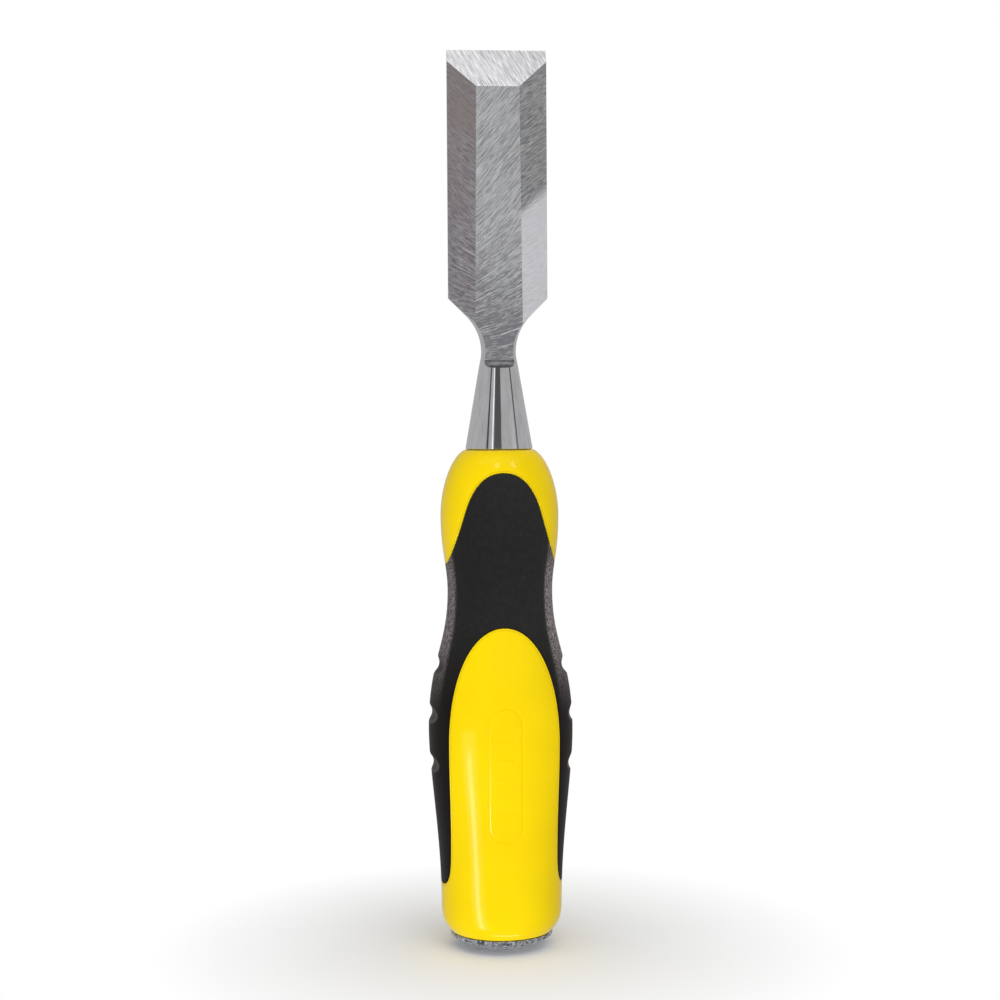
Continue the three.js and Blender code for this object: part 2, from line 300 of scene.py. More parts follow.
def border_rows(lines):
    """Rows of points on both sides of each border, how far each is sunk, and the edges to keep."""
    points, sinks, edges, count = [], [], [], 0
    for line, side in zip(lines, YELLOW_SIDES):
        for rows, sign in ((YELLOW_EDGE, side), (BLACK_EDGE, -side)):
            for row, (distance, sink) in enumerate(rows):
                moved = offset_line(line, distance, sign)
                if row == 0:
                    edges += [(count + i, count + i + 1) for i in range(len(moved) - 1)]
                points.append(moved)
                sinks.append(np.full(len(moved), sink, float))
                count += len(moved)
    return np.concatenate(points), np.concatenate(sinks), edges


def fill_points(lines):
    """A lattice over the rest of the flat map."""
    fill = lattice((0.0, HANDLE_BASE), (SIDE, HANDLE_TOP), COARSE_SPACING)
    for low, high, spacing in FINE_ZONES:
        fill = fill[~inside(fill, low, high, 0.3 * COARSE_SPACING)]
        fill = np.concatenate([fill, lattice(low, high, spacing)])
    return far_from(fill, lines, CLEAR_OF_LINES)


def quarter_map():
    """Triangulates the flat map of a quarter. Gives its points, faces, sink, and what is yellow or black."""
    lines = [border_line(border, LINE_SPACING) for border in (PANEL_BORDER, TONGUE_BORDER)]
    row_points, row_sinks, edges = border_rows(lines)
    fill = fill_points(lines)
    points = np.concatenate([row_points, fill])
    sinks = np.concatenate([row_sinks, np.zeros(len(fill))])
    placed, _, faces, origins, _, _ = delaunay_2d_cdt([Vector(p) for p in points], edges, [], 0, 1e-5)
    flat = np.array([tuple(v) for v in placed])
    sinks = np.array([sinks[origin[0]] if origin else 0.0 for origin in origins])
    faces = np.array(faces)
    return flat, faces, sinks, region_of(flat[faces].mean(1), lines)


def region_of(centres, lines):
    """1 where a point of the flat map is yellow, -1 where it is black, 0 in the fine gap between."""
    regions = np.full(len(centres), -1)
    gap = YELLOW_EDGE[0][0]
    for line, side in zip(lines, YELLOW_SIDES):
        yellow_line, black_line = offset_line(line, gap, side), offset_line(line, gap, -side)
        for edge, value in ((black_line, 0), (yellow_line, 1)):
            regions[crossed(centres, edge, side)] = value
    return regions


def crossed(centres, line, side):
    """Which points lie on the upper (1) or lower (-1) side of a line across the flat map."""
    order = np.argsort(line[:, 0])
    border_z = np.interp(centres[:, 0], line[order, 0], line[order, 1])
    return (centres[:, 1] - border_z) * side > 0


def quartered(points, faces):
    """The front right quarter repeated into all four."""
    all_points, all_faces, count = [], [], 0
    for mirror_x in (1, -1):
        for mirror_y in (1, -1):
            all_points.append(points * np.array([mirror_x, mirror_y, 1]))
            turned = [f if mirror_x * mirror_y > 0 else f[::-1] for f in faces]
            all_faces += [[i + count for i in f] for f in turned]
            count += len(points)
    return np.concatenate(all_points), all_faces


def border_walls(flat, faces, count):
    """Walls from the edges that only one face uses to the copies of their points, count places on. The edge
    of the flat map needs none, because the next quarter or the handle's end carries on there."""
    used = dict.fromkeys((int(a), int(b)) for face in faces for a, b in zip(face, np.roll(face, -1)))
    return [(a + count, b + count, b, a) for a, b in used
            if (b, a) not in used and not on_outline(flat, a, b)]


def on_outline(flat, a, b):
    """Whether both ends of an edge lie on the same side of the flat map."""
    limits = ((0, 0.0), (0, SIDE), (1, HANDLE_BASE), (1, HANDLE_TOP))
    return any(abs(flat[a][k] - limit) < SAME_PLACE and abs(flat[b][k] - limit) < SAME_PLACE
               for k, limit in limits)


def end_rings(flat, count, z_end, rings):
    """Rings of (radius, height) that close the handle's end, inward from the skin's edge row. Their points
    are numbered from count on."""
    row = [i for i in range(len(flat)) if abs(flat[i][1] - z_end) < SAME_PLACE]
    row.sort(key=lambda i: flat[i][0])
    turn = flat[row, 0] / ARC
    points, faces = [], []
    previous = row
    for radius, z in rings:
        ring = np.stack([radius * np.sin(turn), -radius * np.cos(turn), np.full(len(row), z)], -1)
        ring[0, 0], ring[-1, 1] = 0, 0
        points.append(ring)
        current = list(range(count, count + len(row)))
        faces += [(previous[k], previous[k + 1], current[k + 1], current[k]) for k in range(len(row) - 1)]
        previous, count = current, count + len(row)
    points.append(np.array([[0, 0, rings[-1][1]]]))
    faces += [(previous[k], previous[k + 1], count) for k in range(len(row) - 1)]
    if z_end == HANDLE_BASE:
        faces = [face[::-1] for face in faces]
    return np.concatenate(points), faces


def badge_depth(x, z):
    """Depth of the panel's plain moulded mark: a round-ended frame with plain bars across it."""
    up = z - BADGE["z"]
    straight = BADGE["half_length"] - BADGE["half_width"]
    outline = np.hypot(x, np.maximum(np.abs(up) - straight, 0)) - BADGE["half_width"]
    frame_line = 1 - smoothstep(0.4, 1.0, np.abs(outline) / BADGE["line"])
    last_bar = BADGE["bars_each_way"]
    nearest_bar = BADGE["bar_pitch"] * np.clip(np.round(up / BADGE["bar_pitch"]), -last_bar, last_bar)
    past_bar = np.abs(up - nearest_bar) - BADGE["bar_half_height"]
    bars = 1 - smoothstep(-0.1, 0.25, np.maximum(past_bar, np.abs(x) - BADGE["bar_half_width"]))
    return BADGE["depth"] * np.maximum(frame_line, bars)


def engrave(points):
    """Sinks the mark into the skin of the front panel."""
    x, y, z = points.T
    on_skin = y < -0.8 * np.interp(z, HEIGHTS, DEEP)
    depth = badge_depth(x, z)
    points[:, 1] += np.where(on_skin & (np.abs(x) < BADGE["clear_x"]), depth, 0)


def notch_surface(points):
    """Each point's stretched distance from the tool's axis, and that of the notch rings at its height."""
    x, y, z = points.T
    reach = np.hypot(x, y / NOTCH_STRETCH)
    no_limit = 1e9
    limit = np.full(len(points), no_limit)
    for height in NOTCH_HEIGHTS:
        ring = np.interp(height, HEIGHTS, WIDE) - NOTCH_DEPTH + NOTCH_TUBE
        depth = np.sqrt(np.maximum(NOTCH_TUBE ** 2 - (z - height) ** 2, 0))
        limit = np.minimum(limit, np.where(depth > 0, ring - depth, no_limit))
    return reach, limit


def notched(points):
    """Scoops the finger notches out of both sides, with softened edges."""
    x, y, z = points.T
    reach, limit = notch_surface(points)
    near = np.maximum(NOTCH_BLEND - np.abs(reach - limit), 0) / NOTCH_BLEND
    kept = np.minimum(reach, limit) - near ** 2 * NOTCH_BLEND / 4
    new_x = np.sqrt(np.maximum(kept ** 2 - (y / NOTCH_STRETCH) ** 2, 0))
    changed = (kept < reach) & (np.abs(x) > NOTCH_STRETCH)
    return np.stack([np.where(changed, np.sign(x) * new_x, x), y, z], -1)


def socket_rings():
    """Rings of (radius, height) at both ends of the core: a rounded rim, a shallow seat and a socket."""
    rim, base = HALF_WIDTH["top"], HALF_WIDTH["base"]
    top_seat, base_seat = HANDLE_TOP - 0.5, HANDLE_BASE + 0.4
    top_rings = [(rim - 0.12, HANDLE_TOP), (rim - 0.3, HANDLE_TOP - 0.1), (rim - 0.4, top_seat),
                 (SOCKET_RADIUS, top_seat), (SOCKET_RADIUS, HANDLE_TOP - TANG_LENGTH - 1)]
    base_rings = [(base - 0.25, HANDLE_BASE), (base - 0.5, HANDLE_BASE + 0.1), (base - 0.6, base_seat),
                  (SOCKET_RADIUS, base_seat), (SOCKET_RADIUS, CAP_HIGH[2] + 0.5)]
    return (HANDLE_TOP, top_rings), (HANDLE_BASE, base_rings)


def core_piece(flat, faces, sinks, regions):
    """The yellow body: its skin, the hidden skin under the grip, the walls between them and the sockets."""
    skin, normals = surface(flat[:, 0] / ARC, flat[:, 1])
    outer = skin - normals * sinks[:, None]
    under = skin - normals * CORE_UNDER_GRIP
    yellow, hidden = faces[regions == 1], faces[regions != 1]
    count = len(outer)
    points = np.concatenate([outer, under])
    listed = [tuple(f) for f in yellow] + [tuple(f + count) for f in hidden]
    listed += border_walls(flat, yellow, count)
    for z_end, rings in socket_rings():
        more, more_faces = end_rings(flat, len(points), z_end, rings)
        points = np.concatenate([points, more])
        listed += more_faces
    # How far each skin point is sunk, for the yellow's darker tint along the border: painted shade, with some
    # dirt.
    groove_dirt_and_shade = np.zeros(len(points))
    groove_dirt_and_shade[:count] = np.clip(sinks / GROOVE_SINK, 0, 1)
    points, listed = quartered(points, listed)
    engrave(points)
    made = make_object("handle_core_visual", points, listed, values={"groove_dirt_and_shade": np.tile(groove_dirt_and_shade, 4)})
    smooth_except(made, HANDLE_CREASE)
    return made


def grip_piece(flat, faces, sinks, regions):
    """The black sleeve: its notched skin, the skin on the core, and the walls between them."""
    skin, normals = surface(flat[:, 0] / ARC, flat[:, 1])
    outer = notched(skin - normals * sinks[:, None])
    inner = skin - normals * GRIP_WALL
    black = faces[regions == -1]
    count = len(outer)
    listed = [tuple(f) for f in black] + [tuple((f + count)[::-1]) for f in black]
    listed += border_walls(flat, black, count)
    points, listed = quartered(np.concatenate([outer, inner]), listed)
    used = sorted({i for face in listed for i in face})
    renumber = {old: new for new, old in enumerate(used)}
    made = make_object("soft_grip_visual", points[used], [[renumber[i] for i in f] for f in listed])
    smooth_except(made, HANDLE_CREASE)
    return made


# ---- turned and ground pieces ----

def turned(name, outline, segments, scale):
    """A solid of revolution about Z from (radius, height) points that start and end on the axis."""
    turns = np.linspace(0, 2 * math.pi, segments, endpoint=False)
    points = [np.array([[0, 0, outline[0][1]], [0, 0, outline[-1][1]]])]
    rims = outline[1:-1]
    for radius, z in rims:
        points.append(np.stack([radius * np.cos(turns), radius * np.sin(turns), np.full(segments, z)], -1))
    faces = []
    for k in range(segments):
        after = (k + 1) % segments
        faces.append((0, 2 + after, 2 + k))
        for rim in range(len(rims) - 1):
            a, b = 2 + rim * segments, 2 + (rim + 1) * segments
            faces.append((a + k, a + after, b + after, b + k))
        last = 2 + (len(rims) - 1) * segments
        faces.append((last + k, last + after, 1))
    return make_object(name, np.concatenate(points), faces, scale)


def prism(name, section, axis):
    """A section extruded both ways along X (section is y, z) or Y (section is x, z), in millimetres."""
    count = len(section)
    points = []
    for side in (-REACH, REACH):
        for a, b in section:
            points.append((side, a, b) if axis == "X" else (a, side, b))
    faces = [list(range(count)), list(range(2 * count - 1, count - 1, -1))]
    faces += [(k, (k + 1) % count, (k + 1) % count + count, k + count) for k in range(count)]
    return make_object(name, np.array(points, float), faces, 1.0)


def combine(target, other, operation):
    """Cuts or joins another object into target, and removes it."""
    change = target.modifiers.new("combine", "BOOLEAN")
    change.operation = operation
    change.solver = "EXACT"
    change.object = other
    graph = bpy.context.evaluated_depsgraph_get()
    mesh = bpy.data.meshes.new_from_object(target.evaluated_get(graph))
    target.modifiers.clear()
    target.data = mesh
    bpy.data.objects.remove(other)


def forging_outline():
    """(radius, height) points of the turned blank, from the cone's base to just above the shoulders."""
    half = BLADE_WIDTH / 2
    base, rim = HANDLE_TOP + 0.12, 0.25
    eighth = NECK_SWEEP * math.sqrt(0.5)
    neck = bezier([(CONE_TOP, CONE_TOP_Z), (CONE_TOP - 0.36, CONE_TOP_Z + 1.9), (NECK_RADIUS, NECK_Z - 1.4),
                   (NECK_RADIUS, NECK_Z)], 14)
    angles = np.linspace(math.pi, 0.75 * math.pi, 25)[1:]
    centre = NECK_RADIUS + NECK_SWEEP
    flare = [(centre + NECK_SWEEP * math.cos(a), NECK_Z + NECK_SWEEP * math.sin(a)) for a in angles]
    corner = (half, NECK_Z + eighth + half - (centre - eighth))
    cone = [(CONE_BASE + (CONE_TOP - CONE_BASE) * t, base + rim + (CONE_TOP_Z - base - rim) * t)
            for t in (0, 0.33, 0.66)]
    return [(0, base), (CONE_BASE - 0.3, base), (CONE_BASE - 0.08, base + 0.08), *cone,
            *map(tuple, neck), *flare, corner, (half, SHOULDER_Z + 1), (0, SHOULDER_Z + 1)]


def face_grinding(face_y, radius):
    """Section of all that the wheel takes off one face, with its hollow run-out."""
    side = math.copysign(1, face_y)
    centre = face_y + side * radius
    angles = np.linspace(0, math.pi / 2, 20)
    hollow = [(centre - side * radius * math.cos(a), RUN_OUT_Z - radius * math.sin(a)) for a in angles]
    far, above = side * REACH, EDGE_Z + 9
    return [(face_y, above), *hollow, (far, RUN_OUT_Z - radius), (far, above)]


def side_bevel(side):
    """A block with one face on a side bevel's plane, down to the neck, which is too narrow to reach it."""
    bevel_z = EDGE_Z - BEVEL_LENGTH
    tip = Vector((side * RIDGE_TIP, FRONT_Y, bevel_z))
    shoulder = Vector((side * RIDGE_SHOULDER, FRONT_Y, SHOULDER_Z))
    land = Vector((side * BLADE_WIDTH / 2, BACK_Y - SIDE_LAND, bevel_z))
    along = (tip - shoulder).normalized()
    out = (land - tip).cross(along).normalized() * side
    across = out.cross(along)
    corners = [tip + across * a * REACH + out * o * REACH + along * u * (bevel_z - NECK_Z)
               for a in (-1, 1) for o in (0, 1) for u in (-1, 1)]
    faces = [(0, 1, 3, 2), (4, 6, 7, 5), (0, 4, 5, 1), (2, 3, 7, 6), (0, 2, 6, 4), (1, 5, 7, 3)]
    return make_object("side_bevel", np.array([tuple(c) for c in corners]), faces, 1.0)


def tang_block(top_z):
    """The square tang, which narrows downward and ends in a short blunt point."""
    low_z, tip = top_z - TANG_LENGTH, TANG_TIP / 2
    rings = []
    for half, z in ((TANG_TOP / 2, top_z), (tip + 0.25, low_z + 2), (tip - 0.7, low_z)):
        rings += [(-half, -half, z), (half, -half, z), (half, half, z), (-half, half, z)]
    faces = [(0, 3, 2, 1), (8, 9, 10, 11)]
    for ring in (0, 4):
        faces += [(ring + k, ring + (k + 1) % 4, ring + (k + 1) % 4 + 4, ring + k + 4) for k in range(4)]
    return make_object("tang", np.array(rings, float), faces, 1.0)


def blade_piece():
    """The forging: a turned blank and a plate, ground on both faces, at the cutting edge and at the sides."""
    blade = turned("blade_visual", forging_outline(), BLADE_SEGMENTS, 1.0)
    half, deep = BLADE_WIDTH / 2, 2 * (BACK_Y - FRONT_Y)
    over, under = 4, 20
    plate = [(-half, SHOULDER_Z), (half, SHOULDER_Z), (half, EDGE_Z + over), (-half, EDGE_Z + over)]
    block = prism("plate", plate, "Y")
    block.data.transform(Matrix.Scale(deep / REACH, 4, (0, 1, 0)))
    combine(blade, block, "UNION")
    slope = (BACK_Y - FRONT_Y) / BEVEL_LENGTH
    bevel = [(BACK_Y + over * slope, EDGE_Z + over), (BACK_Y - under * slope, EDGE_Z - under),
             (-REACH, EDGE_Z - under), (-REACH, EDGE_Z + over)]
    back_radius = CONE_TOP - BACK_Y
    for section in (face_grinding(FRONT_Y, RUN_OUT_RADIUS), face_grinding(BACK_Y, back_radius), bevel):
        combine(blade, prism("grinding", section, "X"), "DIFFERENCE")
    for side in (1, -1):
        combine(blade, side_bevel(side), "DIFFERENCE")
    combine(blade, tang_block(HANDLE_TOP + 2), "UNION")
    soften_blade_edges(blade)
    blade.data.transform(Matrix.Scale(MM, 4))
    paint_blade(blade)
    return blade


def finish_index(name):
    """Which of the blade's materials a finish is."""
    return list(BLADE_FINISH).index(name)


def soften_blade_edges(blade):
    """A hairline bevel on the straight ridges, as honing leaves. The cutting edge stays sharp."""
    shape = bmesh.new()
    shape.from_mesh(blade.data)
    bmesh.ops.remove_doubles(shape, verts=shape.verts, dist=WELD / 2)
    ridges = []
    for edge in shape.edges:
        if len(edge.link_faces) != 2 or min(v.co.z for v in edge.verts) < GROUND_FROM_Z:
            continue
        a, b = (face.normal for face in edge.link_faces)
        at_edge = all(v.co.z > EDGE_Z - 0.01 for v in edge.verts)
        if a.angle(b, 0) > math.radians(12) and not at_edge:
            ridges.append(edge)
    made = bmesh.ops.bevel(shape, geom=ridges, offset=HAIRLINE, segments=1, affect="EDGES",
                           clamp_overlap=True)
    for face in made["faces"]:
        face.material_index = finish_index("hairline")
    shape.to_mesh(blade.data)
    shape.free()


def finish_of(normal, centre):
    """Which ground finish a face has, from the way it faces and where it is, in millimetres."""
    flat_on = abs(normal.y) > 0.985
    in_hollow = centre.z < RUN_OUT_Z and abs(normal.x) < 0.05 and abs(centre.x) < NECK_RADIUS
    like_cutting_bevel = normal.z > 0.3 and normal.y < -0.8
    like_side_bevel = 0.2 < abs(normal.x) < 0.7 and abs(normal.z) < 0.1 and normal.y < 0
    if centre.z < RUN_OUT_Z - RUN_OUT_RADIUS:
        return "polished"
    if flat_on:
        return "front" if normal.y < 0 else "back"
    if in_hollow:
        return "run_out"
    if like_cutting_bevel:
        return "cutting_bevel"
    if like_side_bevel and centre.z > GROUND_FROM_Z:
        return "left_bevel" if normal.x < 0 else "right_bevel"
    return "polished"


def paint_blade(blade):
    """Gives each ground face its own finish, whose colours partly paint in the light it reflects, and keeps
    the edges between finishes crisp.
    """
    for finish in BLADE_FINISH.values():
        blade.data.materials.append(finish)
    for face in blade.data.polygons:
        if face.material_index != finish_index("hairline"):
            face.material_index = finish_index(finish_of(face.normal, face.center / MM))
    smooth_except(blade, BLADE_CREASE)
    shape = bmesh.new()
    shape.from_mesh(blade.data)
    for edge in shape.edges:
        if len({face.material_index for face in edge.link_faces}) > 1:
            edge.smooth = False
    shape.to_mesh(blade.data)
    shape.free()


def cap_piece():
    """Domed disc with a small flat in the middle and an anchoring stem inside the handle."""
    top, stem_top = HANDLE_BASE - 0.25, CAP_HIGH[2]
    edge = 0.12
    dome_centre = math.sqrt(DOME_RADIUS ** 2 - CAP_FACE ** 2)
    radii = np.linspace(CAP_FACE, CAP_RADIUS - edge, 18)
    dome = [(r, dome_centre - math.sqrt(DOME_RADIUS ** 2 - r * r)) for r in radii]
    rim = [(CAP_RADIUS - edge / 3, dome[-1][1] + edge / 3), (CAP_RADIUS, dome[-1][1] + edge),
           (CAP_RADIUS, top - edge), (CAP_RADIUS - edge, top)]
    stem = [(STEM_RADIUS, top), (STEM_RADIUS, COLLAR_LOW), (COLLAR_RADIUS, COLLAR_LOW),
            (COLLAR_RADIUS, COLLAR_HIGH), (STEM_RADIUS, COLLAR_HIGH), (STEM_RADIUS, stem_top)]
    outline = [(0, 0), (CAP_FACE / 2, 0), *dome, *rim, *stem, (0, stem_top)]
    cap = turned("strike_cap_visual", outline, CAP_SEGMENTS, MM)
    smooth_except(cap, CAP_CREASE)
    return cap


# ---- shader helpers ----

def add(tree, kind, sockets=None, **settings):
    """Adds a node, sets or links its inputs, and gives it back."""
    made = tree.nodes.new(kind)
    for key, value in settings.items():
        setattr(made, key, value)
    for key, value in (sockets or {}).items():
        if isinstance(value, bpy.types.NodeSocket):
            tree.links.new(value, made.inputs[key])
        else:
            made.inputs[key].default_value = value
    return made


def new_material(name):
    """A material with one principled shader. Gives the material, its node tree and the shader."""
    made = bpy.data.materials.new(name)
    made.use_nodes = True
    tree = made.node_tree
    tree.nodes.clear()
    shader = add(tree, "ShaderNodeBsdfPrincipled")
    add(tree, "ShaderNodeOutputMaterial", {"Surface": shader.outputs[0]})
    return made, tree, shader


def noise(tree, vector, scale, detail, roughness=0.55):
    """Noise about 0.5, with scale in waves per metre."""
    found = add(tree, "ShaderNodeTexNoise", {"Vector": vector, "Scale": scale, "Detail": detail,
                                             "Roughness": roughness})
    return found.outputs["Fac"]


def ranged(tree, value, low, high, to_low, to_high):
    """The value mapped from low..high to to_low..to_high, and held there outside them."""
    return add(tree, "ShaderNodeMapRange", {"Value": value, "From Min": low, "From Max": high,
                                            "To Min": to_low, "To Max": to_high}).outputs["Result"]


def math_node(tree, operation, first, second=0.0):
    """The result of one sum on numbers or sockets."""
    return add(tree, "ShaderNodeMath", {0: first, 1: second}, operation=operation).outputs[0]


def mixed(tree, share, dark, light):
    """A colour between two colours or sockets, dark where share is 0 and light where it is 1."""
    found = add(tree, "ShaderNodeMix", data_type="RGBA")
    tree.links.new(share, found.inputs["Factor"])
    for socket, colour in zip((found.inputs[6], found.inputs[7]), (dark, light)):
        if isinstance(colour, bpy.types.NodeSocket):
            tree.links.new(colour, socket)
        else:
            socket.default_value = (*colour, 1)
    return found.outputs[2]


def bump(tree, height, strength, distance):
    """Normals that a height between 0 and 1 gives, distance being its size in metres."""
    sockets = {"Height": height, "Strength": strength, "Distance": distance}
    return add(tree, "ShaderNodeBump", sockets).outputs["Normal"]


def added(tree, total, *others):
    """The sum of numbers or sockets."""
    for other in others:
        total = math_node(tree, "ADD", total, other)
    return total


def connect(tree, shader, colour, roughness, normal):
    """Gives the shader its colour, roughness and normals."""
    for key, socket in (("Base Color", colour), ("Roughness", roughness), ("Normal", normal)):
        tree.links.new(socket, shader.inputs[key])


def object_place(tree):
    """Place in the object's own metres."""
    return add(tree, "ShaderNodeTexCoord").outputs["Object"]


# ---- finishes ----

# Heights, in metres, between which something changes along the blade.
MARKS_TURN = (0.1515, 0.196)
# SHADE_CHANGES: where a face's mean tone changes, a painted reflection that varies along the blade.
SHADE_CHANGES = (0.157, 0.186)
SCRATCHES_FADE = (0.16, 0.22)
BURNT_FROM = (0.182, 0.206)
# The line between the wheel's two passes, below which the right bevel is lighter as a painted reflection: the
# heights it fades over at the middle and how far it wavers, in metres, and its rise over run.
PASS_LINE, PASS_WAVER, PASS_SLOPE = (0.1815, 0.1852), 0.0016, 0.88
# Waves along a mark as a share of those across it, waves per metre across it, and detail, for the fine grain,
# the broad grain and the scratches.
MARK_GRAINS = ((0.13, 5200, 2.0), (0.045, 2000, 3.0), (0.02, 2700, 2.0))


def grinding_marks(tree, x, y, z, slope, low_slope):
    """Noises drawn out along lines with this rise over run near the tip and at the neck."""
    tilt = ranged(tree, z, *MARKS_TURN, low_slope, slope)
    across = math_node(tree, "SUBTRACT", z, math_node(tree, "MULTIPLY", x, tilt))
    marks = []
    for stretch, scale, detail in MARK_GRAINS:
        grain = add(tree, "ShaderNodeCombineXYZ", {"X": math_node(tree, "MULTIPLY", x, stretch),
                                                   "Y": math_node(tree, "MULTIPLY", y, 0.03), "Z": across})
        marks.append(noise(tree, grain.outputs[0], scale, detail, 0.6))
    return marks


def burnt(tree, place, z, colour, warm):
    """The colour with warm clouds toward the tip, where the wheel heated the steel."""
    cloud = ranged(tree, noise(tree, place, 60, 1.0), 0.35, 0.6, 0.3, 0.8)
    near_tip = math_node(tree, "MULTIPLY", cloud, ranged(tree, z, *BURNT_FROM, 0.0, 1.0))
    return mixed(tree, near_tip, colour, warm)


def reflect_below_pass(tree, x, z, broad, colour, lower_reflected):
    """The colour, and below the slanting, wavering line of the wheel's second pass a lighter colour, a
    painted reflection.
    """
    line = math_node(tree, "SUBTRACT", z, math_node(tree, "MULTIPLY", x, PASS_SLOPE))
    line = added(tree, line, ranged(tree, broad, 0.3, 0.7, -PASS_WAVER, PASS_WAVER))
    return mixed(tree, ranged(tree, line, *PASS_LINE, 1.0, 0.0), colour, lower_reflected)


def ground_steel(name, dark, light, roughness, slope, low_slope=None, tone_low=0.5, tone_high=0.5, warm=None,
                 pass_reflection_colour=None):
    """Steel with grinding marks. slope is the marks' rise over run near the tip, low_slope at the neck, and
    tone_high and tone_low are the mean shade there, a painted reflection that changes along the blade. dark
    and light are set for each face to how bright it looks, which paints part of its reflected light in. warm
    is the colour of the faintly burnt steel near the tip, and the last argument that of the face below the
    slanting, wavering line of the wheel's second pass, lighter there as a painted reflection."""
    made, tree, shader = new_material(name)
    place = object_place(tree)
    parts = add(tree, "ShaderNodeSeparateXYZ", {"Vector": place})
    x, y, z = (parts.outputs[k] for k in range(3))
    low_slope = slope if low_slope is None else low_slope
    fine, broad, scratches = grinding_marks(tree, x, y, z, slope, low_slope)
    clouds = noise(tree, place, 70, 2.0)
    coarse = math_node(tree, "MULTIPLY", ranged(tree, scratches, 0.60, 0.70, 0.0, 1.0),
                       ranged(tree, z, *SCRATCHES_FADE, 0.8, 0.3))
    # The change of tone along the blade, and each face's own dark and light colours, paint in part of the
    # face's reflected light.
    tone = added(tree, ranged(tree, fine, 0.3, 0.7, -0.6, 0.6), ranged(tree, broad, 0.3, 0.7, -0.25, 0.25),
                 ranged(tree, z, *SHADE_CHANGES, tone_low, tone_high), coarse,
                 ranged(tree, clouds, 0.35, 0.65, -0.07, 0.07))
    colour = mixed(tree, tone, dark, light)
    if warm:
        colour = burnt(tree, place, z, colour, warm)
    # Lighter below the line of the wheel's second pass: a painted reflection.
    if pass_reflection_colour:
        lower_reflected = mixed(tree, ranged(tree, tone, 0.0, 1.0, 0.45, 0.0), pass_reflection_colour, light)
        colour = reflect_below_pass(tree, x, z, broad, colour, lower_reflected)
    height = added(tree, fine, math_node(tree, "MULTIPLY", scratches, 0.8))
    connect(tree, shader, colour, ranged(tree, fine, 0.25, 0.75, roughness + 0.07, roughness - 0.05),
            bump(tree, height, 0.35, 0.00004))
    shader.inputs["Metallic"].default_value = 1.0
    return made


def polished_steel():
    """Bright steel with faint lengthwise streaks and a few darker specks."""
    made, tree, shader = new_material("polished_steel")
    place = object_place(tree)
    stretched = add(tree, "ShaderNodeMapping", {"Vector": place, "Scale": (1.0, 1.0, 0.12)})
    streaks = noise(tree, stretched.outputs[0], 900, 3.0)
    specks = noise(tree, place, 2600, 2.0)
    tone = math_node(tree, "MULTIPLY", ranged(tree, streaks, 0.3, 0.7, 0.55, 1.0),
                     ranged(tree, specks, 0.66, 0.74, 1.0, 0.6))
    connect(tree, shader, mixed(tree, tone, (0.46, 0.46, 0.47), (0.80, 0.80, 0.82)),
            ranged(tree, streaks, 0.3, 0.7, 0.11, 0.06), bump(tree, streaks, 0.12, 0.00003))
    shader.inputs["Metallic"].default_value = 1.0
    return made


def yellow_plastic():
    """Semi-gloss moulded yellow, a little darker in the fine hollow along the black border: painted shade,
    with some dirt.
    """
    made, tree, shader = new_material("yellow_plastic")
    place = object_place(tree)
    groove_dirt_and_shade = add(tree, "ShaderNodeAttribute", attribute_name="groove_dirt_and_shade").outputs["Fac"]
    clouds = noise(tree, place, 45, 3.0)
    grain = noise(tree, place, 1500, 2.0)
    scuffs = noise(tree, place, 420, 4.0, 0.7)
    base = mixed(tree, ranged(tree, clouds, 0.3, 0.7, 0.0, 1.0),
                 (0.79, 0.563, 0.0004), (0.85, 0.617, 0.0008))
    worn = mixed(tree, ranged(tree, scuffs, 0.70, 0.80, 0.0, 0.3), base, (0.70, 0.48, 0.01))
    # Darker in the fine hollow along the black border: painted shade, with some dirt.
    shaded = mixed(tree, ranged(tree, groove_dirt_and_shade, 0.25, 1.0, 0.0, 0.55), worn, (0.45, 0.33, 0.01))
    connect(tree, shader, shaded, ranged(tree, scuffs, 0.3, 0.75, 0.06, 0.13),
            bump(tree, grain, 0.06, 0.00003))
    shader.inputs["IOR"].default_value = 1.49
    shader.inputs["Specular IOR Level"].default_value = 0.12
    return made


